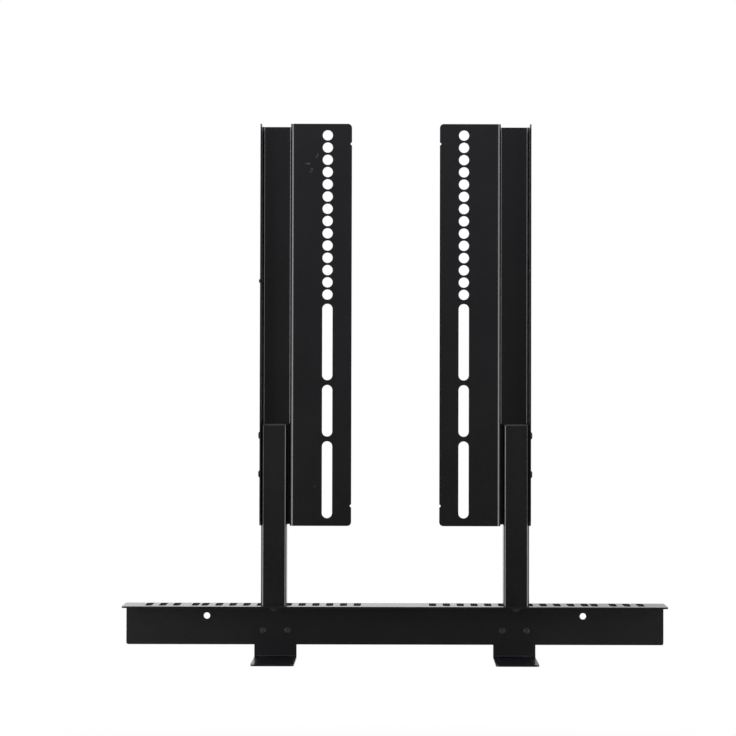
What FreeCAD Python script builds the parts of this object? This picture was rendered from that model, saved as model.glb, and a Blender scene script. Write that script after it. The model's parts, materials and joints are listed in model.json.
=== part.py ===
"""Steel bracket that hangs a long, low load below a flat screen.

Two arms bolt to the back of the screen. A square post slides in the channel
of each arm, is screwed to its outer wall, and carries a slotted rail. Two
supports behind the rail reach forward below it.

The origin is the centre of the bolt pattern, on the plane where the arms
meet the screen. X runs along the rail, Y points away from the screen and
Z is up. Sizes are in millimetres. The pieces of a pair are modelled on the
+X side and mirrored.
"""

import FreeCAD, Part
import math
import os

V = FreeCAD.Vector

# Arms: folded sheet with a drilled flange and a channel
arm_sheet = 2.0
arm_inner_bend = 3.0
arm_span = 398.0            # across the two outer walls
arm_gap = 129.0             # between the free edges of the two flanges
channel_width = 46.5        # outside
channel_depth = 47.0        # outside, flange face to web back
flange_corner = 6.0
wall_corner = 7.5           # lower front corner of the outer wall
notch_radius = 2.0
notch_distance = 29.5       # from each end of the flange's free edge

# Holes and slots down the flange
column_spacing = 200.0
column_width = 15.0         # hole diameter and slot width
hole_pitch = 18.0
hole_count = 14
top_margin = 17.0           # arm's top to the first hole centre
pattern_holes = (1, 12)     # holes of the bolt pattern, counted from 0
first_bridge = 6.0          # metal between the last hole and the first slot
slot_bridge = 7.0
flange_slots = (112.0, 75.5, 112.5)
bottom_margin = 11.5        # last slot's end to the arm's bottom

# Row of screw holes in the outer wall
side_hole = 6.5
side_pitch = 57.0
side_count = 7
side_margin = 18.0          # lowest hole above the arm's bottom
post_holes = (1, 2)         # holes that the post is screwed to, from the bottom

# Posts: square tube, a cap above and a threaded foot below
post_side = 38.0
post_wall = 2.0
post_corner = 4.0
post_length = 265.0
post_headroom = 15.0        # upper screw to the tube's top end
web_clearance = 0.3         # post to the channel's web
plug_clearance = 0.1        # cap and foot in the tube, on each side
cap_plate = 2.0
cap_edge = 0.8
cap_depth = 8.0
cap_wall = 1.6
foot_thickness = 5.0
foot_hole_spacing = 18.0

# Rail: angle with a slotted top flange
rail_sheet = 2.5
rail_inner_bend = 1.5
rail_web_height = 62.0      # outside
rail_corner = 3.0
rail_slot_width = 10.5
rail_slot_length = 45.0
rail_slot_reach = 4.2       # slot's front end ahead of the front foot bolt
rail_front_margin = 14.0    # front edge to the slots
rail_rear_margin = 7.0      # slots to the back of the web
slot_pitch = 20.4
inner_slot_count = 6        # slots between the post's own slot and the middle
outward_slot_count = 5      # slots beyond the post's, as far as the short step
slot_short_step = 14.2
slot_long_step = 27.6
end_slot_count = 3          # slots beyond the long step
rail_end_margin = 37.4      # last slot's centre to the rail's end
web_hole = 9.5
web_hole_spacing = 560.0
web_hole_drop = 19.3        # below the rail's top

# Supports: angles behind the rail's web
support_sheet = 2.5
support_inner_bend = 2.5
support_width = 63.0
support_corner = 5.0
support_reach = 98.0        # from the web's front face to the lip's edge
lip_drop = 18.5             # lip's top below the rail's lower edge
support_hole_rise = 21.0    # screws above the rail's lower edge
support_hole_spacing = 36.0
support_leg_rise = 25.0     # leg's top above the screws
support_slot_length = 20.0

# Six-millimetre fasteners
screw_diameter = 6.0
screw_hole = 6.5
thread_clearance = 0.05
screw_stand_out = 1.5       # screw's end beyond its nut
button_head = 10.5
button_height = 3.0
button_rim = 1.2
button_top = 7.0            # flat on top of a button head
socket_size = 4.0
socket_depth = 1.8
hex_size = 10.0             # across flats of nuts and bolt heads
nut_height = 5.0
bolt_head_height = 4.0
washer_bore = 6.4
washer_thickness = 1.0
side_washer = 13.0
support_washer = 13.0
foot_washer = 18.0
foot_washer_thickness = 1.6

# Stud in the topmost side hole of the left arm
stud_clearance = 0.05
stud_nose = 5.4
stud_nose_length = 3.0
stud_nose_chamfer = 0.8
stud_flange = 9.0
stud_flange_thickness = 1.2

# Places that follow from the sizes above
column_radius = column_width / 2
pattern_height = (pattern_holes[1] - pattern_holes[0]) * hole_pitch
arm_top = top_margin + pattern_holes[0] * hole_pitch + pattern_height / 2
last_hole = arm_top - top_margin - (hole_count - 1) * hole_pitch
slots_top = last_hole - column_radius - first_bridge
slots_bottom = slots_top - sum(flange_slots) - (len(flange_slots) - 1) * slot_bridge
arm_bottom = slots_bottom - bottom_margin
column_x = column_spacing / 2
flange_edge = arm_gap / 2
wall_outside = arm_span / 2
wall_inside = wall_outside - arm_sheet
channel_back = wall_outside - channel_width
channel_face = channel_back + arm_sheet
web_face = channel_depth - arm_sheet
side_holes = [arm_bottom + side_margin + index * side_pitch for index in range(side_count)]
side_screws = {"lower": side_holes[post_holes[0]], "upper": side_holes[post_holes[1]]}

post_x = wall_inside - post_side / 2
post_y = web_face - web_clearance - post_side / 2
post_top = side_screws["upper"] + post_headroom
rail_top = post_top - post_length
foot_bolts = {"front": post_y - foot_hole_spacing / 2, "rear": post_y + foot_hole_spacing / 2}

rail_slot_front = foot_bolts["front"] - rail_slot_reach
rail_front = rail_slot_front - rail_front_margin
rail_back = rail_slot_front + rail_slot_length + rail_rear_margin
rail_web_face = rail_back - rail_sheet
rail_under = rail_top - rail_sheet
rail_bottom = rail_top - rail_web_height

support_hole_z = rail_bottom + support_hole_rise
lip_top = rail_bottom - lip_drop
support_holes = {
    "inner": post_x - support_hole_spacing / 2,
    "outer": post_x + support_hole_spacing / 2,
}


def point(along, u, v, w):
    """Point with w on the axis named along and (u, v) on the other two, in X, Y, Z order."""
    if along == "x":
        return V(w, u, v)
    if along == "y":
        return V(u, w, v)
    return V(u, v, w)


def rounded_outline(along, corners, level):
    """Closed wire through (u, v, radius) corners, with an arc at each rounded one."""
    edges = []
    reached = None
    first = None
    for index, (u, v, radius) in enumerate(corners):
        here = V(u, v, 0)
        before = V(*corners[index - 1][:2], 0) - here
        after = V(*corners[(index + 1) % len(corners)][:2], 0) - here
        before.normalize()
        after.normalize()
        half_angle = before.getAngle(after) / 2
        setback = radius / math.tan(half_angle)
        start = here + before * setback
        end = here + after * setback
        if reached is None:
            first = start
        elif reached.distanceToPoint(start) > 1e-6:
            edges.append((reached, start))
        if radius > 0:
            inward = (before + after).normalize()
            middle = here + inward * (radius / math.sin(half_angle) - radius)
            edges.append((start, middle, end))
        reached = end
    if reached.distanceToPoint(first) > 1e-6:
        edges.append((reached, first))

    shapes = []
    for points in edges:
        placed_points = [point(along, p.x, p.y, level) for p in points]
        curve = Part.Arc if len(points) == 3 else Part.LineSegment
        shapes.append(curve(*placed_points).toShape())
    return Part.Wire(shapes)


def prism(along, corners, start, end):
    """Solid with a rounded outline that runs from start to end along one axis."""
    face = Part.Face(rounded_outline(along, corners, start))
    return face.extrude(point(along, 0, 0, end - start))


def rectangle(u_low, u_high, v_low, v_high, radius=0.0):
    return [
        (u_low, v_low, radius),
        (u_high, v_low, radius),
        (u_high, v_high, radius),
        (u_low, v_high, radius),
    ]


def centred_square(u, v, side, radius):
    return rectangle(u - side / 2, u + side / 2, v - side / 2, v + side / 2, radius)


def cylinder(along, u, v, diameter, start, end):
    axis = point(along, 0, 0, 1)
    return Part.makeCylinder(diameter / 2, end - start, point(along, u, v, start), axis)


def drilled(solid, cutters):
    return solid.cut(cutters).Solids[0]


def round_edges(solid, radius, is_wanted):
    """Round the straight edges whose middle point the test accepts."""
    chosen = [edge for edge in solid.Edges if is_wanted(edge.CenterOfMass, edge.BoundBox)]
    return solid.makeFillet(radius, chosen)


def mirrored(solid):
    return solid.mirror(V(0, 0, 0), V(1, 0, 0))


def placed(solid, seat, direction):
    """Turn a fastener made along +Z so that its head points along direction from its seat."""
    copy = solid.copy()
    copy.Placement = FreeCAD.Placement(seat, FreeCAD.Rotation(V(0, 0, 1), direction))
    return copy


def arm():
    outer_bend = arm_inner_bend + arm_sheet
    section = [
        (flange_edge, 0, 0),
        (channel_face, 0, outer_bend),
        (channel_face, web_face, arm_inner_bend),
        (wall_inside, web_face, arm_inner_bend),
        (wall_inside, 0, 0),
        (wall_outside, 0, 0),
        (wall_outside, channel_depth, outer_bend),
        (channel_back, channel_depth, outer_bend),
        (channel_back, arm_sheet, arm_inner_bend),
        (flange_edge, arm_sheet, 0),
    ]
    solid = prism("z", section, arm_bottom, arm_top)

    def at_flange_corner(middle, box):
        at_end = min(abs(middle.z - arm_top), abs(middle.z - arm_bottom)) < 0.01
        return at_end and abs(middle.x - flange_edge) < 0.01 and box.YLength > arm_sheet / 2

    def at_wall_corner(middle, box):
        on_wall = wall_inside < middle.x < wall_outside and box.XLength > arm_sheet / 2
        return on_wall and abs(middle.y) < 0.01 and abs(middle.z - arm_bottom) < 0.01

    solid = round_edges(solid, flange_corner, at_flange_corner)
    solid = round_edges(solid, wall_corner, at_wall_corner)
    return drilled(solid, flange_cutters() + side_cutters())


def flange_cutters():
    """Round holes, slots and edge notches through the flange."""
    front = -arm_sheet
    back = 2 * arm_sheet
    cutters = []
    for index in range(hole_count):
        z = arm_top - top_margin - index * hole_pitch
        cutters.append(cylinder("y", column_x, z, column_width, front, back))
    slot_top = slots_top
    for length in flange_slots:
        outline = rectangle(
            column_x - column_radius,
            column_x + column_radius,
            slot_top - length,
            slot_top,
            column_radius,
        )
        cutters.append(prism("y", outline, front, back))
        slot_top -= length + slot_bridge
    for z in (arm_top - notch_distance, arm_bottom + notch_distance):
        cutters.append(cylinder("y", flange_edge, z, 2 * notch_radius, front, back))
    return cutters


def side_cutters():
    inside = wall_inside - arm_sheet
    outside = wall_outside + arm_sheet
    return [cylinder("x", post_y, z, side_hole, inside, outside) for z in side_holes]


def post():
    outside = prism("z", centred_square(post_x, post_y, post_side, post_corner), rail_top, post_top)
    bore_side = post_side - 2 * post_wall
    bore = centred_square(post_x, post_y, bore_side, post_corner - post_wall)
    cutters = [prism("z", bore, rail_top - post_wall, post_top + post_wall)]
    for z in side_screws.values():
        start = wall_inside - 2 * post_wall
        cutters.append(cylinder("x", post_y, z, screw_hole, start, wall_inside + post_wall))
    return drilled(outside, cutters)


def post_plug(start, end):
    """Block that fills the post's bore from start to end."""
    side = post_side - 2 * (post_wall + plug_clearance)
    radius = post_corner - post_wall - plug_clearance
    return prism("z", centred_square(post_x, post_y, side, radius), start, end)


def post_cap():
    top = post_top + cap_plate
    plate_outline = centred_square(post_x, post_y, post_side, post_corner)
    plate = prism("z", plate_outline, post_top, top)
    top_edges = [edge for edge in plate.Edges if abs(edge.BoundBox.ZMin - top) < 0.01]
    plate = plate.makeChamfer(cap_edge, top_edges)
    core_side = post_side - 2 * (post_wall + plug_clearance + cap_wall)
    core = prism("z", centred_square(post_x, post_y, core_side, 0), post_top - 2 * cap_depth, post_top)
    plug = post_plug(post_top - cap_depth, post_top).cut(core)
    return plate.fuse(plug).removeSplitter().Solids[0]


def post_foot():
    plate = post_plug(rail_top, rail_top + foot_thickness)
    bore = screw_diameter + 2 * thread_clearance
    below = rail_top - foot_thickness
    above = rail_top + 2 * foot_thickness
    threads = [cylinder("z", post_x, y, bore, below, above) for y in foot_bolts.values()]
    return drilled(plate, threads)


def rail_slot_places():
    """Centres of the slots on the +X side, from the middle of the rail outwards."""
    steps = [slot_pitch] * (inner_slot_count + outward_slot_count)
    steps += [slot_short_step, slot_long_step]
    steps += [slot_pitch] * (end_slot_count - 1)
    places = [post_x - inner_slot_count * slot_pitch]
    for step in steps:
        places.append(places[-1] + step)
    return places


def rail():
    section = [
        (rail_front, rail_top, 0),
        (rail_back, rail_top, rail_inner_bend + rail_sheet),
        (rail_back, rail_bottom, 0),
        (rail_web_face, rail_bottom, 0),
        (rail_web_face, rail_under, rail_inner_bend),
        (rail_front, rail_under, 0),
    ]
    places = rail_slot_places()
    half_length = places[-1] + rail_end_margin
    solid = prism("x", section, -half_length, half_length)

    def at_free_corner(middle, box):
        if abs(abs(middle.x) - half_length) > 0.01:
            return False
        at_front = abs(middle.y - rail_front) < 0.01 and box.ZLength > rail_sheet / 2
        at_bottom = abs(middle.z - rail_bottom) < 0.01 and box.YLength > rail_sheet / 2
        return at_front or at_bottom

    solid = round_edges(solid, rail_corner, at_free_corner)
    cutters = []
    for x in places:
        outline = rectangle(
            x - rail_slot_width / 2,
            x + rail_slot_width / 2,
            rail_slot_front,
            rail_slot_front + rail_slot_length,
            rail_slot_width / 2,
        )
        cutter = prism("z", outline, rail_under - rail_sheet, rail_top + rail_sheet)
        cutters += [cutter, mirrored(cutter)]
    front = rail_web_face - rail_sheet
    back = rail_back + rail_sheet
    web_holes = [(web_hole_spacing / 2, rail_top - web_hole_drop, web_hole)]
    web_holes += [(x, support_hole_z, screw_hole) for x in support_holes.values()]
    for x, z, diameter in web_holes:
        cutter = cylinder("y", x, z, diameter, front, back)
        cutters += [cutter, mirrored(cutter)]
    return drilled(solid, cutters)


def support():
    leg_top = support_hole_z + support_leg_rise
    leg_back = rail_back + support_sheet
    lip_front = rail_web_face - support_reach
    lip_bottom = lip_top - support_sheet
    section = [
        (rail_back, leg_top, 0),
        (leg_back, leg_top, 0),
        (leg_back, lip_bottom, support_inner_bend + support_sheet),
        (lip_front, lip_bottom, 0),
        (lip_front, lip_top, 0),
        (rail_back, lip_top, support_inner_bend),
    ]
    solid = prism("x", section, post_x - support_width / 2, post_x + support_width / 2)

    def at_free_corner(middle, box):
        at_leg_top = abs(middle.z - leg_top) < 0.01 and box.YLength > support_sheet / 2
        at_lip_front = abs(middle.y - lip_front) < 0.01 and box.ZLength > support_sheet / 2
        return at_leg_top or at_lip_front

    solid = round_edges(solid, support_corner, at_free_corner)
    cutters = []
    for x in support_holes.values():
        outline = rectangle(
            x - screw_hole / 2,
            x + screw_hole / 2,
            support_hole_z - support_slot_length / 2,
            support_hole_z + support_slot_length / 2,
            screw_hole / 2,
        )
        cutters.append(prism("y", outline, rail_back - support_sheet, leg_back + support_sheet))
    return drilled(solid, cutters)


def revolved(outline):
    """Solid turned about Z from an outline of (radius, height) points that ends on the axis."""
    points = [V(radius, 0, height) for radius, height in outline]
    face = Part.Face(Part.makePolygon(points + points[:1]))
    return face.revolve(V(0, 0, 0), V(0, 0, 1), 360)


def hexagon(across_flats, bottom, top):
    corner_radius = across_flats / 2 / math.cos(math.radians(30))
    corners = []
    for index in range(6):
        angle = math.radians(60 * index)
        corners.append((corner_radius * math.cos(angle), corner_radius * math.sin(angle), 0))
    return prism("z", corners, bottom, top)


def with_shank(head, length):
    """Head that sits on Z = 0, joined to a plain shank below it."""
    shank = cylinder("z", 0, 0, screw_diameter, -length, 0)
    return head.fuse(shank).removeSplitter().Solids[0]


def button_screw(length):
    head = revolved([
        (0, 0),
        (button_head / 2, 0),
        (button_head / 2, button_rim),
        (button_top / 2, button_height),
        (0, button_height),
    ])
    socket = hexagon(socket_size, button_height - socket_depth, button_height + socket_depth)
    return with_shank(head.cut(socket), length)


def hex_bolt(length):
    return with_shank(hexagon(hex_size, 0, bolt_head_height), length)


def hex_nut():
    """Nut that sits on Z = 0 and hangs below it."""
    bore = screw_diameter + 2 * thread_clearance
    thread = cylinder("z", 0, 0, bore, -2 * nut_height, nut_height)
    return drilled(hexagon(hex_size, -nut_height, 0), [thread])


def washer(diameter, thickness):
    """Washer that sits on Z = 0."""
    disc = cylinder("z", 0, 0, diameter, 0, thickness)
    return drilled(disc, [cylinder("z", 0, 0, washer_bore, -thickness, 2 * thickness)])


def arm_stud():
    """Stud pressed into a side hole, with its nose outside and its flange inside the wall."""
    hole_radius = side_hole / 2 - stud_clearance
    nose_radius = stud_nose / 2
    inside = -arm_sheet
    flange_end = inside - stud_flange_thickness
    return revolved([
        (0, flange_end),
        (stud_flange / 2, flange_end),
        (stud_flange / 2, inside),
        (hole_radius, inside),
        (hole_radius, 0),
        (nose_radius, 0),
        (nose_radius, stud_nose_length - stud_nose_chamfer),
        (nose_radius - stud_nose_chamfer, stud_nose_length),
        (0, stud_nose_length),
    ])


def side_fasteners():
    """Screw, washer and nut at each of the post's two side holes."""
    pieces = {}
    outward = V(1, 0, 0)
    length = washer_thickness + arm_sheet + post_wall + nut_height + screw_stand_out
    for level, z in side_screws.items():
        wall = V(wall_outside, post_y, z)
        head = V(wall_outside + washer_thickness, post_y, z)
        tube = V(wall_inside - post_wall, post_y, z)
        pieces[level + "_side_screw"] = placed(button_screw(length), head, outward)
        pieces[level + "_side_washer"] = placed(washer(side_washer, washer_thickness), wall, outward)
        pieces[level + "_side_nut"] = placed(hex_nut(), tube, outward)
    return pieces


def foot_fasteners():
    """Bolt and washer below each of the foot's two threads."""
    pieces = {}
    down = V(0, 0, -1)
    length = foot_washer_thickness + rail_sheet + foot_thickness + screw_stand_out
    for place, y in foot_bolts.items():
        seat = V(post_x, y, rail_under)
        head = V(post_x, y, rail_under - foot_washer_thickness)
        pieces[place + "_foot_bolt"] = placed(hex_bolt(length), head, down)
        pieces[place + "_foot_washer"] = placed(washer(foot_washer, foot_washer_thickness), seat, down)
    return pieces


def support_fasteners():
    """Screw, washer and nut at each of the support's two slots."""
    pieces = {}
    forward = V(0, -1, 0)
    backward = V(0, 1, 0)
    leg_back = rail_back + support_sheet
    length = rail_sheet + support_sheet + washer_thickness + nut_height + screw_stand_out
    for place, x in support_holes.items():
        head = V(x, rail_web_face, support_hole_z)
        washer_seat = V(x, leg_back, support_hole_z)
        nut_seat = V(x, leg_back + washer_thickness, support_hole_z)
        support_disc = washer(support_washer, washer_thickness)
        pieces[place + "_support_screw"] = placed(button_screw(length), head, forward)
        pieces[place + "_support_washer"] = placed(support_disc, washer_seat, backward)
        pieces[place + "_support_nut"] = placed(hex_nut(), nut_seat, forward)
    return pieces


def all_pieces():
    paired = {
        "arm": arm(),
        "post": post(),
        "post_cap": post_cap(),
        "post_foot": post_foot(),
        "support": support(),
    }
    paired.update(side_fasteners())
    paired.update(foot_fasteners())
    paired.update(support_fasteners())
    pieces = {"rail": rail()}
    for name, solid in paired.items():
        pieces["right_" + name] = solid
        pieces["left_" + name] = mirrored(solid)
    stud = placed(arm_stud(), V(wall_outside, post_y, side_holes[-1]), V(1, 0, 0))
    pieces["left_arm_stud"] = mirrored(stud)
    return pieces


os.makedirs("parts", exist_ok=True)
for name, solid in all_pieces().items():
    solid.exportStep("parts/" + name + ".step")
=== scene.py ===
"""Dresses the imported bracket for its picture: finishes, fine fasteners, studio and camera.

Lengths are in metres, in the frame of the CAD model: X along the rail, Y away
from the screen and Z up. The fine fasteners are worked out in millimetres.
"""

import json
import math

import bmesh
import bpy
from mathutils import Matrix, Quaternion, Vector


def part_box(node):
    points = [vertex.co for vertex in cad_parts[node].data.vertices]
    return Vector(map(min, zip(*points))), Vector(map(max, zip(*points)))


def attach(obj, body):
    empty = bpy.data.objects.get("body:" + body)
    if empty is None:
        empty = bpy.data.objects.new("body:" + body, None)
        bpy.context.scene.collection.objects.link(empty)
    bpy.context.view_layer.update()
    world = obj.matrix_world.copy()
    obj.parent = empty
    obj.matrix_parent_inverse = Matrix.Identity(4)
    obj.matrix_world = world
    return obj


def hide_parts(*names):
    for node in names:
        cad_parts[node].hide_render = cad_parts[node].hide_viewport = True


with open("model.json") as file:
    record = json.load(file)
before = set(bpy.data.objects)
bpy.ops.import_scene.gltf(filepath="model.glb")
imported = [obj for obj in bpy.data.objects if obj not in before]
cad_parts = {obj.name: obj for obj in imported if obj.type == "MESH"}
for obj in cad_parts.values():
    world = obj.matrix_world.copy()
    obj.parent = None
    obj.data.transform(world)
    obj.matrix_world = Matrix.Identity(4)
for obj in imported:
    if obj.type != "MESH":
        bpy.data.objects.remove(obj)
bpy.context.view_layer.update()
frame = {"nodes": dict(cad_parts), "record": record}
nodes = frame["nodes"]

MM = 0.001
WHITE = (1.0, 1.0, 1.0, 1.0)


class Nodes:
    """Short way to add and join the nodes of one tree."""

    def __init__(self, tree):
        self.tree = tree

    def add(self, kind, inputs=(), **settings):
        node = self.tree.nodes.new(kind)
        for key, value in settings.items():
            setattr(node, key, value)
        self.fill(node, inputs)
        return node

    def fill(self, node, inputs):
        for key, value in dict(inputs).items():
            if isinstance(value, bpy.types.NodeSocket):
                self.tree.links.new(value, node.inputs[key])
            else:
                node.inputs[key].default_value = value

    def position(self):
        return self.add("ShaderNodeTexCoord").outputs["Object"]

    def noise(self, place, scale, detail, roughness):
        inputs = {"Vector": place, "Scale": scale, "Detail": detail, "Roughness": roughness}
        return self.add("ShaderNodeTexNoise", inputs).outputs["Fac"]

    def spread(self, value, span, low, high, smooth=False):
        """Turn the span of the value into low to high, held at both ends."""
        inputs = {
            "Value": value,
            "From Min": span[0],
            "From Max": span[1],
            "To Min": low,
            "To Max": high,
        }
        kind = "SMOOTHSTEP" if smooth else "LINEAR"
        return self.add("ShaderNodeMapRange", inputs, interpolation_type=kind).outputs["Result"]

    def maths(self, operation, first, second):
        inputs = {0: first, 1: second}
        return self.add("ShaderNodeMath", inputs, operation=operation).outputs[0]

    def vector_maths(self, operation, first, second):
        inputs = {0: first, 1: second}
        return self.add("ShaderNodeVectorMath", inputs, operation=operation).outputs[0]

    def length(self, vector):
        node = self.add("ShaderNodeVectorMath", {0: vector}, operation="LENGTH")
        return node.outputs["Value"]

    def axes(self, vector):
        return self.add("ShaderNodeSeparateXYZ", {"Vector": vector}).outputs

    def rays(self):
        return self.add("ShaderNodeLightPath").outputs

    def blend(self, amount, first, second):
        inputs = {"Factor": amount, "A": first, "B": second}
        return self.add("ShaderNodeMix", inputs).outputs["Result"]

    def blend_colour(self, amount, first, second):
        inputs = {"Factor": amount, "A": first, "B": second}
        return self.add("ShaderNodeMix", inputs, data_type="RGBA").outputs["Result"]

    def bump(self, height, distance, strength, under=None):
        inputs = {"Height": height, "Distance": distance, "Strength": strength}
        if under is not None:
            inputs["Normal"] = under
        return self.add("ShaderNodeBump", inputs).outputs["Normal"]

    def mottle(self, noise, colour, darker, lighter):
        """The colour in patches, darker and lighter by the two factors."""
        dark = [channel * darker for channel in colour] + [1.0]
        light = [channel * lighter for channel in colour] + [1.0]
        return self.blend_colour(self.spread(noise, NOISE_SPAN, 0.0, 1.0), dark, light)


# Finishes

NOISE_SPAN = (0.3, 0.7)         # holds nearly all of a noise's values
DUST_SPAN = (0.74, 0.80)        # only its highest peaks
DUST_SHARE = 0.10
DUST_COLOUR = (0.12, 0.12, 0.13, 1.0)
RUBBED_COLOUR = (0.085, 0.085, 0.095, 1.0)
COAT_ROUGHNESS = 0.14

# marks in the left arm's flange: X, Z, half width, half height and how plain it is
FLANGE_SCUFFS = [
    (-0.1281, 0.0754, 0.0018, 0.0016, 0.95),
    (-0.1290, 0.0752, 0.0050, 0.0013, 0.50),
    (-0.1233, 0.0673, 0.0020, 0.0017, 0.65),
    (-0.1250, 0.0637, 0.0024, 0.0012, 0.60),
    (-0.1162, 0.0860, 0.0014, 0.0021, 0.65),
    (-0.1146, 0.0889, 0.0012, 0.0019, 0.50),
    (-0.1182, -0.3984, 0.0013, 0.0012, 0.80),
]
SCUFF_DEPTH = 0.004
SCUFF_EDGE = (0.20, 0.80)       # from full strength to none, in half sizes
RAGGED_SPAN = (0.36, 0.64)
RAGGED_SWING = 0.8


def new_finish(name):
    material = bpy.data.materials.new(name)
    material.use_nodes = True
    return material, Nodes(material.node_tree), material.node_tree.nodes["Principled BSDF"]


def powder_coat(name, colour, roughness, coat=1.0, scuffs=()):
    """Satin powder coat: a soft orange peel, a finer grain and faint cloudy patches."""
    material, made, shader = new_finish(name)
    place = made.position()
    cloud = made.noise(place, scale=9.0, detail=3.0, roughness=0.55)
    peel = made.noise(place, scale=900.0, detail=1.0, roughness=0.5)
    grain = made.noise(place, scale=5200.0, detail=2.0, roughness=0.6)
    specks = made.noise(place, scale=2600.0, detail=0.0, roughness=0.5)

    base = made.mottle(cloud, colour, darker=0.90, lighter=1.12)
    dust = made.spread(specks, DUST_SPAN, 0.0, DUST_SHARE)
    base = made.blend_colour(dust, base, DUST_COLOUR)
    for x, z, half_width, half_height, strength in scuffs:
        rubbed = scuff(made, place, (x, 0.0, z), (half_width, SCUFF_DEPTH, half_height))
        rubbed = made.maths("MULTIPLY", rubbed, strength)
        base = made.blend_colour(rubbed, base, RUBBED_COLOUR)

    gloss = made.spread(cloud, NOISE_SPAN, roughness - 0.03, roughness + 0.03)
    waves = made.bump(peel, distance=0.00012, strength=0.35)
    made.fill(shader, {
        "Base Color": base,
        "Roughness": made.maths("ADD", gloss, made.spread(grain, NOISE_SPAN, -0.03, 0.03)),
        "Specular IOR Level": 0.15,
        "Coat Weight": coat,
        "Coat Roughness": COAT_ROUGHNESS,
        "Normal": made.bump(grain, distance=0.00003, strength=0.45, under=waves),
    })
    return material


def scuff(made, place, spot, size):
    """Broken pale mark round one spot, 1 at its middle and 0 at its edge."""
    offset = made.vector_maths("SUBTRACT", place, spot)
    reach = made.length(made.vector_maths("DIVIDE", offset, size))
    noise = made.noise(place, scale=1300.0, detail=3.0, roughness=0.7)
    ragged = made.spread(noise, RAGGED_SPAN, -RAGGED_SWING, RAGGED_SWING)
    return made.spread(made.maths("ADD", reach, ragged), SCUFF_EDGE, 1.0, 0.0)


def plated_steel(name, colour, metallic, roughness):
    """Plated or blackened steel of small fasteners, with fine drawn marks."""
    material, made, shader = new_finish(name)
    place = made.position()
    stain = made.noise(place, scale=420.0, detail=3.0, roughness=0.6)
    marks = made.noise(place, scale=6000.0, detail=2.0, roughness=0.6)
    made.fill(shader, {
        "Base Color": made.mottle(stain, colour, darker=0.82, lighter=1.18),
        "Metallic": metallic,
        "Roughness": made.spread(stain, NOISE_SPAN, roughness - 0.05, roughness + 0.07),
        "Normal": made.bump(marks, distance=0.00002, strength=0.4),
    })
    return material


def moulded_plastic(name, colour, roughness):
    """Spark-eroded matte plastic."""
    material, made, shader = new_finish(name)
    place = made.position()
    patch = made.noise(place, scale=60.0, detail=2.0, roughness=0.5)
    pits = made.noise(place, scale=3200.0, detail=3.0, roughness=0.65)
    made.fill(shader, {
        "Base Color": made.mottle(patch, colour, darker=0.9, lighter=1.15),
        "Roughness": made.spread(pits, NOISE_SPAN, roughness - 0.06, roughness + 0.06),
        "Specular IOR Level": 0.35,
        "Normal": made.bump(pits, distance=0.00005, strength=0.5),
    })
    return material


ARM_BLACK = (0.0020, 0.0020, 0.0025)
POST_BLACK = (0.0019, 0.0019, 0.0021)
RAIL_BLACK = (0.0016, 0.0016, 0.0018)
CAP_BLACK = (0.014, 0.014, 0.014)
PLATED_BLACK = (0.012, 0.012, 0.0135)
ZINC = (0.62, 0.63, 0.65)

finishes = {
    "arm_coating": powder_coat("arm_coating", ARM_BLACK, 0.28, scuffs=FLANGE_SCUFFS),
    "post_coating": powder_coat("post_coating", POST_BLACK, 0.28),
    "rail_coating": powder_coat("rail_coating", RAIL_BLACK, 0.38, coat=0.40),
    "support_coating": powder_coat("support_coating", POST_BLACK, 0.38, coat=0.30),
    "cap_plastic": moulded_plastic("cap_plastic", CAP_BLACK, 0.55),
    "black_hardware": plated_steel("black_hardware", PLATED_BLACK, metallic=0.6, roughness=0.46),
    "zinc_plate": plated_steel("zinc_plate", ZINC, metallic=1.0, roughness=0.30),
}

slot_of = {item["node"]: item["material_slot"] for item in frame["record"]["subparts"]}


# CAD pieces: each gets its finish, and the coat rounds the edges of the sheets

CAD_SMOOTH_ANGLE = 32.0
SHEET_ENDINGS = ("_arm", "_post", "_support", "_post_cap", "_post_foot")
EDGE_ROUNDING = 0.25 * MM
EDGE_SEGMENTS = 2
EDGE_ANGLE = 50.0


def smooth_by_angle(obj, degrees):
    obj.data.shade_smooth()
    obj.data.set_sharp_from_angle(angle=math.radians(degrees))


for node_name, node in nodes.items():
    node.data.materials.clear()
    node.data.materials.append(finishes[slot_of[node_name]])
    smooth_by_angle(node, CAD_SMOOTH_ANGLE)
    if node_name.endswith(SHEET_ENDINGS) or node_name == "rail":
        edge = node.modifiers.new("coated_edge", "BEVEL")
        edge.width = EDGE_ROUNDING
        edge.segments = EDGE_SEGMENTS
        edge.limit_method = "ANGLE"
        edge.angle_limit = math.radians(EDGE_ANGLE)
        edge.harden_normals = True


# Fine fasteners: each is a stack of rings round its own axis, in millimetres,
# with its seat at height 0

SEGMENTS = 48
FINE_SMOOTH_ANGLE = 34.0

HEAD_RADIUS = 5.25
HEAD_HEIGHT = 2.2
HEAD_RIM = 0.45
HEAD_STEPS = 9
HEAD_FOOT_INSET = 0.25          # of the rounding at its seat
HEAD_FOOT_HEIGHT = 0.2
SOLID_HEAD_HEIGHT = 3.0         # the CAD fastener's
SOCKET = 4.0
SOCKET_DEPTH = 1.3
SOCKET_CLEARANCE = 0.25         # round its corners
SOCKET_LIP = (0.1, 0.02)        # in and down from the edge of its mouth
SOCKET_CONE = 0.3               # depth of the cones at its mouth and its floor
SOCKET_FLOOR_RADIUS = 0.4

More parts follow.
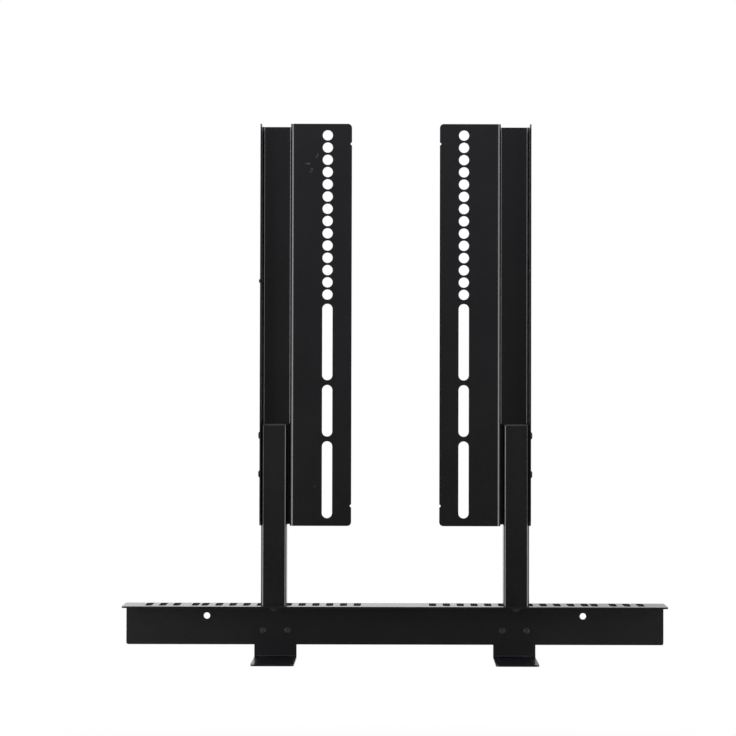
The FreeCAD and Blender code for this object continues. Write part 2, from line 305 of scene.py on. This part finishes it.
SHANK_RADIUS = 3.0
SIDE_SCREW_LENGTH = 11.5
SUPPORT_SCREW_LENGTH = 12.5
FOOT_BOLT_LENGTH = 10.6
NECK = 0.8                      # plain shank below the head
POINT_MIDDLE = 1.2              # radii at the shank's point, and the height of its shoulder
POINT_RADIUS = 2.25
POINT_SHOULDER = 2.55
POINT_HEIGHT = 0.35
THREAD_TOP = -1.0
THREAD_PITCH = 1.0
THREAD_DEPTH = 0.55
THREAD_STEPS = 8                # rings in one turn
THREAD_RUN_OUT = 0.45

HEX_SIZE = 10.0
HEX_CHAMFER_ANGLE = 60.0
HEX_CHAMFER_STEPS = 5
BOLT_HEAD_HEIGHT = 4.0
BOLT_FACE_RADIUS = 4.7
WASHER_FACE_RADIUS = 4.6
WASHER_FACE_HEIGHT = 0.3
NUT_HEIGHT = 5.0
NUT_FACE_RADIUS = 4.75
NUT_BORE = 3.05
NUT_MOUTH = 3.45
NUT_LEAD = 0.35                 # depth of the cone at each end of the bore

WASHER_BORE = 3.2
WASHER_BORE_CHAMFER = 0.2
WASHER_BURR = 0.05
WASHER_UNDER_EDGE = 0.08
WASHER_ROLL = [(0.0, 0.22), (0.07, 0.07), (0.25, 0.0)]     # in from the rim, down from the top
SMALL_WASHER = (6.5, 1.0)       # radius and thickness
FOOT_WASHER = (9.0, 1.6)

STUD_REACH = 3.0                # of its nose beyond the wall
STUD_MIDDLE = 1.5
STUD_NOSE = 2.7
STUD_ROUNDING = 1.1
STUD_ROUNDING_STEPS = 6
STUD_NECK = 3.2
STUD_FLANGE = 4.5
STUD_FLANGE_TOP = -2.0
STUD_FLANGE_BOTTOM = -3.2
STUD_FLANGE_CHAMFER = 0.15


def turned(*profile):
    """Round rings through pairs of radius and height."""
    return [[pair] * SEGMENTS for pair in profile]


def hexagon_ring(size, height, turned_to=math.inf):
    """Hexagon across its flats, with its corners turned down to a radius."""
    ring = []
    for index in range(SEGMENTS):
        angle = 2 * math.pi * index / SEGMENTS
        within = angle % math.radians(60) - math.radians(30)
        ring.append((min(size / 2 / math.cos(within), turned_to), height))
    return ring


def corner_radius(size):
    return size / 2 / math.cos(math.radians(30))


def thread_rings(top, bottom):
    """Rings of a helical thread from top down to bottom, fading out at both ends."""
    rings = []
    count = int((top - bottom) / THREAD_PITCH * THREAD_STEPS)
    for level in range(count + 1):
        height = top - (top - bottom) * level / count
        start = level / THREAD_STEPS
        end = THREAD_RUN_OUT + (count - level) / THREAD_STEPS
        depth = THREAD_DEPTH * min(1.0, start, end)
        ring = []
        for index in range(SEGMENTS):
            turn = (height / THREAD_PITCH + index / SEGMENTS) % 1.0
            groove = 1 - abs(2 * turn - 1)
            ring.append((SHANK_RADIUS - depth * groove, height))
        rings.append(ring)
    return rings


def shank_rings(length):
    """From the point of the shank up to the seat."""
    tip = turned(
        (POINT_MIDDLE, -length),
        (POINT_RADIUS, -length),
        (POINT_SHOULDER, POINT_HEIGHT - length),
    )
    thread = thread_rings(THREAD_TOP, THREAD_RUN_OUT - length)
    neck = turned((SHANK_RADIUS, -NECK), (SHANK_RADIUS, 0))
    return tip + thread[::-1] + neck


def button_head_rings():
    """Domed head from its seat up, and down into its hexagon socket."""
    rings = turned(
        (HEAD_RADIUS - HEAD_FOOT_INSET, 0),
        (HEAD_RADIUS, HEAD_FOOT_HEIGHT),
        (HEAD_RADIUS, HEAD_RIM),
    )
    mouth = corner_radius(SOCKET) + SOCKET_CLEARANCE
    for step in range(1, HEAD_STEPS + 1):
        angle = math.radians(90) * step / HEAD_STEPS
        radius = mouth + (HEAD_RADIUS - mouth) * math.cos(angle)
        rings += turned((radius, HEAD_RIM + (HEAD_HEIGHT - HEAD_RIM) * math.sin(angle)))
    lip_inset, lip_drop = SOCKET_LIP
    floor = HEAD_HEIGHT - SOCKET_DEPTH
    rings += turned((mouth - lip_inset, HEAD_HEIGHT - lip_drop))
    rings.append(hexagon_ring(SOCKET, HEAD_HEIGHT - SOCKET_CONE))
    rings.append(hexagon_ring(SOCKET, floor))
    return rings + turned((SOCKET_FLOOR_RADIUS, floor - SOCKET_CONE))


def hexagon_rings(bottom, top, face_radius, chamfer_bottom=True):
    """Outside of a nut or bolt head, from bottom to top, with its corners turned off."""
    slope = math.tan(math.radians(HEX_CHAMFER_ANGLE))
    depth = (corner_radius(HEX_SIZE) - face_radius) / slope
    steps = [depth * index / HEX_CHAMFER_STEPS for index in range(HEX_CHAMFER_STEPS + 1)]

    def chamfer_ring(height, step):
        return hexagon_ring(HEX_SIZE, height, face_radius + step * slope)

    if chamfer_bottom:
        rings = [chamfer_ring(bottom + step, step) for step in steps]
    else:
        rings = [hexagon_ring(HEX_SIZE, bottom)]
    return rings + [chamfer_ring(top - step, step) for step in steps[::-1]]


def stacked(name, rings, closed):
    """Mesh through the rings: closed joins the last to the first, and open caps both ends."""
    mesh = bpy.data.meshes.new(name)
    work = bmesh.new()
    loops = []
    for ring in rings:
        loop = []
        for index, (radius, height) in enumerate(ring):
            angle = 2 * math.pi * index / SEGMENTS
            spot = Vector((radius * math.cos(angle), radius * math.sin(angle), height)) * MM
            loop.append(work.verts.new(spot))
        loops.append(loop)
    pairs = list(zip(loops, loops[1:]))
    if closed:
        pairs.append((loops[-1], loops[0]))
    for lower, upper in pairs:
        for index in range(SEGMENTS):
            after = (index + 1) % SEGMENTS
            work.faces.new((lower[index], lower[after], upper[after], upper[index]))
    if not closed:
        work.faces.new(loops[0][::-1])
        work.faces.new(loops[-1])
    bmesh.ops.recalc_face_normals(work, faces=work.faces)
    work.to_mesh(mesh)
    work.free()
    return mesh


def button_screw(length):
    return stacked("button_screw", shank_rings(length) + button_head_rings(), False)


def hex_bolt(length):
    face = turned((WASHER_FACE_RADIUS, 0), (WASHER_FACE_RADIUS, WASHER_FACE_HEIGHT))
    head = hexagon_rings(WASHER_FACE_HEIGHT, BOLT_HEAD_HEIGHT, BOLT_FACE_RADIUS,
                         chamfer_bottom=False)
    return stacked("hex_bolt", shank_rings(length) + face + head, False)


def hex_nut():
    outside = hexagon_rings(-NUT_HEIGHT, 0, NUT_FACE_RADIUS)
    bore = turned(
        (NUT_MOUTH, 0),
        (NUT_BORE, -NUT_LEAD),
        (NUT_BORE, NUT_LEAD - NUT_HEIGHT),
        (NUT_MOUTH, -NUT_HEIGHT),
    )
    return stacked("hex_nut", outside + bore, True)


def flat_washer(radius, thickness):
    """Stamped washer: rolled over on its upper edges and sharp below."""
    below = turned(
        (WASHER_BORE, WASHER_BURR),
        (radius - WASHER_UNDER_EDGE, 0),
        (radius, WASHER_UNDER_EDGE),
    )
    rim = turned(*((radius - inset, thickness - drop) for inset, drop in WASHER_ROLL))
    mouth = turned(
        (WASHER_BORE + WASHER_BORE_CHAMFER, thickness),
        (WASHER_BORE, thickness - WASHER_BORE_CHAMFER),
    )
    return stacked("flat_washer", below + rim + mouth, True)


def arm_stud():
    """Round-nosed stud that is held by its flange behind the wall."""
    shoulder = STUD_REACH - STUD_ROUNDING
    rings = turned(
        (STUD_MIDDLE, STUD_FLANGE_BOTTOM),
        (STUD_FLANGE - STUD_FLANGE_CHAMFER, STUD_FLANGE_BOTTOM),
        (STUD_FLANGE, STUD_FLANGE_BOTTOM + STUD_FLANGE_CHAMFER),
        (STUD_FLANGE, STUD_FLANGE_TOP),
        (STUD_NECK, STUD_FLANGE_TOP),
        (STUD_NECK, 0),
        (STUD_NOSE, 0),
        (STUD_NOSE, shoulder),
    )
    for step in range(1, STUD_ROUNDING_STEPS + 1):
        angle = math.radians(90) * step / STUD_ROUNDING_STEPS
        radius = STUD_NOSE - STUD_ROUNDING * (1 - math.cos(angle))
        rings += turned((radius, shoulder + STUD_ROUNDING * math.sin(angle)))
    return stacked("arm_stud", rings, False)


def dress(node_name, mesh, outward, seat_depth):
    """Put a fine piece where a CAD fastener is.

    outward is its head's side, and seat_depth is how far its seat lies below
    its outer end, in millimetres.
    """
    low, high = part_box(node_name)
    direction = Vector(outward)
    seat = (low + high) / 2
    reach = (high - low).dot(Vector(map(abs, outward))) / 2
    seat += direction * (reach - seat_depth * MM)
    piece = bpy.data.objects.new(node_name + "_fine", mesh)
    turn = direction.to_track_quat("Z", "Y").to_matrix().to_4x4()
    piece.matrix_world = Matrix.Translation(seat) @ turn
    bpy.context.scene.collection.objects.link(piece)
    mesh.materials.append(finishes[slot_of[node_name]])
    smooth_by_angle(piece, FINE_SMOOTH_ANGLE)
    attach(piece, "root")
    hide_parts(node_name)


FORWARD, BACKWARD, DOWN = (0, -1, 0), (0, 1, 0), (0, 0, -1)

for side, sign in (("left_", -1), ("right_", 1)):
    outward = (sign, 0, 0)
    for level in ("upper", "lower"):
        stem = side + level + "_side_"
        dress(stem + "screw", button_screw(SIDE_SCREW_LENGTH), outward, SOLID_HEAD_HEIGHT)
        dress(stem + "washer", flat_washer(*SMALL_WASHER), outward, SMALL_WASHER[1])
        dress(stem + "nut", hex_nut(), outward, 0.0)
    for place in ("inner", "outer"):
        stem = side + place + "_support_"
        dress(stem + "screw", button_screw(SUPPORT_SCREW_LENGTH), FORWARD, SOLID_HEAD_HEIGHT)
        dress(stem + "washer", flat_washer(*SMALL_WASHER), BACKWARD, SMALL_WASHER[1])
        dress(stem + "nut", hex_nut(), FORWARD, 0.0)
    for place in ("front", "rear"):
        stem = side + place + "_foot_"
        dress(stem + "bolt", hex_bolt(FOOT_BOLT_LENGTH), DOWN, BOLT_HEAD_HEIGHT)
        dress(stem + "washer", flat_washer(*FOOT_WASHER), DOWN, FOOT_WASHER[1])
dress("left_arm_stud", arm_stud(), (-1, 0, 0), STUD_REACH)


# Studio

# place, target, width, height and power of each lamp
SOFTBOXES = {
    "left_softbox": ((-2.12, -1.55, -0.15), (0, 0, -0.22), 1.2, 2.0, 34.0),
    "left_front_softbox": ((-1.40, -2.19, -0.2), (0, 0, -0.22), 0.95, 1.9, 26.0),
    "right_softbox": ((2.12, -1.55, -0.15), (0, 0, -0.22), 1.2, 2.0, 34.0),
    "right_front_softbox": ((1.40, -2.19, -0.2), (0, 0, -0.22), 0.95, 1.9, 17.0),
    "top_softbox": ((0.0, -0.9, 2.3), (0, 0, -0.3), 2.2, 1.2, 18.0),
    "rear_softbox": ((-0.7, 3.0, -0.1), (-0.2, 0, -0.57), 2.0, 0.6, 1.9),
}

SURFACE_LIGHT = 0.15            # strength of the world on matte surfaces
ROOM_LOW = 0.01                 # what gloss shows below the horizon, near it and overhead
ROOM_MIDDLE = 0.17
ROOM_HIGH = 0.80
ROOM_TINT = (0.90, 0.86, 1.30, 1.0)
HORIZON_SPAN = (-0.11, -0.03)   # heights of a direction, from low to middle
CEILING_SPAN = (0.01, 0.38)     # and from middle to high
BACKDROP_SPAN = (-0.30, 0.35)   # depths of a direction, from the room to the white backdrop

FLOOR_HEIGHT = -1.1
FLOOR_RADIUS = 3.2
FLOOR_SEGMENTS = 96
FLOOR_COLOUR = (0.86, 0.86, 0.86, 1.0)
FLOOR_LIFT = 0.40               # glow that brings the floor near white
FLOOR_FADE = (1.0, 2.6)         # distances from its middle, from floor to plain white
FLOOR_GLOSS_SPAN = (-1.2, 0.6)  # depths, from dark to white in the object's gloss
FLOOR_GLOSS_LOW = 0.05


def area_light(name, place, target, width, height, power):
    data = bpy.data.lights.new(name, "AREA")
    data.shape = "RECTANGLE"
    data.size = width
    data.size_y = height
    data.energy = power
    light = bpy.data.objects.new(name, data)
    light.location = place
    light.rotation_mode = "QUATERNION"
    light.rotation_quaternion = (Vector(target) - Vector(place)).to_track_quat("-Z", "Y")
    light.visible_camera = False
    bpy.context.scene.collection.objects.link(light)


def by_ray(made, matte, glossy):
    """One strength for matte surfaces, one for gloss, and plain white for camera and glass."""
    rays = made.rays()
    strength = made.blend(rays["Is Glossy Ray"], matte, glossy)
    strength = made.blend(rays["Is Transmission Ray"], strength, 1.0)
    return made.blend(rays["Is Camera Ray"], strength, 1.0)


def white_world():
    """White backdrop behind, a dim room in front that gloss shows, and soft light on surfaces."""
    world = bpy.data.worlds.new("studio")
    world.use_nodes = True
    world.node_tree.nodes.clear()
    made = Nodes(world.node_tree)
    direction = made.axes(made.add("ShaderNodeTexCoord").outputs["Generated"])
    room = made.spread(direction["Z"], HORIZON_SPAN, ROOM_LOW, ROOM_MIDDLE)
    upper = made.spread(direction["Z"], CEILING_SPAN, 0.0, 1.0, smooth=True)
    behind = made.spread(direction["Y"], BACKDROP_SPAN, 0.0, 1.0, smooth=True)
    mirrored = made.blend(behind, made.blend(upper, room, ROOM_HIGH), 1.0)
    ceiling_ahead = made.maths("MULTIPLY", upper, made.maths("SUBTRACT", 1.0, behind))
    cool = made.maths("MULTIPLY", ceiling_ahead, made.rays()["Is Glossy Ray"])
    shade = made.add("ShaderNodeBackground", {
        "Color": made.blend_colour(cool, WHITE, ROOM_TINT),
        "Strength": by_ray(made, SURFACE_LIGHT, mirrored),
    })
    made.add("ShaderNodeOutputWorld", {"Surface": shade.outputs[0]})
    bpy.context.scene.world = world


def floor_material():
    material = bpy.data.materials.new("pale_floor")
    material.use_nodes = True
    material.node_tree.nodes.clear()
    made = Nodes(material.node_tree)
    place = made.position()
    depth = made.axes(place)["Y"]
    in_gloss = made.spread(depth, FLOOR_GLOSS_SPAN, FLOOR_GLOSS_LOW, 1.0, smooth=True)
    seen = by_ray(made, 0.0, in_gloss)
    lit = made.add("ShaderNodeBsdfDiffuse", {"Color": FLOOR_COLOUR})
    glow = made.add("ShaderNodeEmission", {"Strength": made.maths("MULTIPLY", seen, FLOOR_LIFT)})
    near = made.add("ShaderNodeAddShader", {0: lit.outputs[0], 1: glow.outputs[0]})
    white = made.add("ShaderNodeEmission", {"Strength": seen})
    far = made.spread(made.length(place), FLOOR_FADE, 0.0, 1.0, smooth=True)
    mixed = made.add("ShaderNodeMixShader", {0: far, 1: near.outputs[0], 2: white.outputs[0]})
    made.add("ShaderNodeOutputMaterial", {"Surface": mixed.outputs[0]})
    return material


def pale_floor():
    """Pale floor that takes a soft shadow and melts into the white round it."""
    work = bmesh.new()
    bmesh.ops.create_circle(work, cap_ends=True, segments=FLOOR_SEGMENTS, radius=FLOOR_RADIUS)
    mesh = bpy.data.meshes.new("floor")
    work.to_mesh(mesh)
    work.free()
    mesh.materials.append(floor_material())
    floor = bpy.data.objects.new("floor", mesh)
    floor.location = (0, 0, FLOOR_HEIGHT)
    bpy.context.scene.collection.objects.link(floor)


for lamp_name, lamp in SOFTBOXES.items():
    area_light(lamp_name, *lamp)
white_world()
pale_floor()


# Camera: at the photograph's distance and height, tilted and rolled a little as it was

CAMERA_PLACE = (0.0, -3.45, -0.2535)
CAMERA_TILT = 91.0              # degrees up from straight down
CAMERA_ROLL = 0.127
SENSOR_WIDTH = 36.0
LENS = 115.11
SHIFT_X = -0.0374
SHIFT_Y = -0.0289

camera_data = bpy.data.cameras.new("camera")
camera_data.sensor_width = SENSOR_WIDTH
camera_data.lens = LENS
camera_data.shift_x = SHIFT_X
camera_data.shift_y = SHIFT_Y
camera = bpy.data.objects.new("camera", camera_data)
camera.location = CAMERA_PLACE
camera.rotation_mode = "QUATERNION"
tilt = Quaternion((1, 0, 0), math.radians(CAMERA_TILT))
roll = Quaternion((0, 0, 1), math.radians(CAMERA_ROLL))
camera.rotation_quaternion = tilt @ roll
bpy.context.scene.collection.objects.link(camera)
bpy.context.scene.camera = camera

bpy.context.scene.view_settings.view_transform = "Standard"
